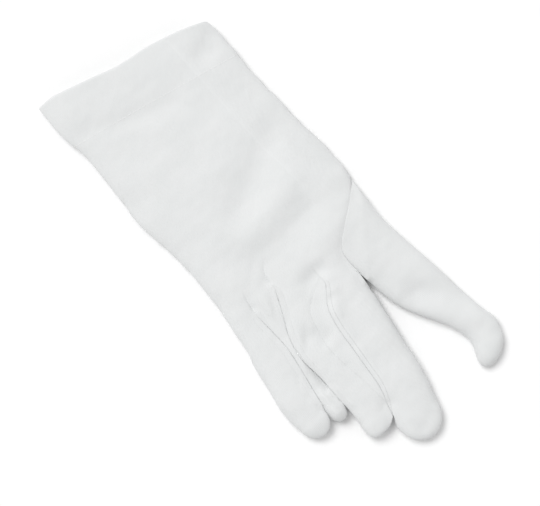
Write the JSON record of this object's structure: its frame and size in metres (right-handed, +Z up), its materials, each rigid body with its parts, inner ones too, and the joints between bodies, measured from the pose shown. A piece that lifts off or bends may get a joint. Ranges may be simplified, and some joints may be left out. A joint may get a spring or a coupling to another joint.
{
  "type": "cotton glove",
  "caption": "White knitted cotton dress glove for the right hand, lying flat with its back up, hollow and open at a hemmed cuff.",
  "frame": {"origin": "middle of the glove's outline, on the surface that it lies on", "axes": "+X towards the thumb's side, +Y from the fingertips towards the cuff, +Z up out of the back of the hand"},
  "size_m": [0.126, 0.2592, 0.0123],
  "materials": {
    "knitted_cotton": "white cotton interlock knit, matt and slightly fuzzy",
    "hem_cotton": "white cotton interlock knit, turned in and stitched"
  },
  "bodies": {
    "root": {"back_panel": "knitted_cotton", "palm_panel": "knitted_cotton", "thumb": "knitted_cotton", "fourchette_index_middle": "knitted_cotton", "fourchette_middle_ring": "knitted_cotton", "fourchette_ring_little": "knitted_cotton", "cuff_hem": "hem_cotton"}
  },
  "joints": []
}
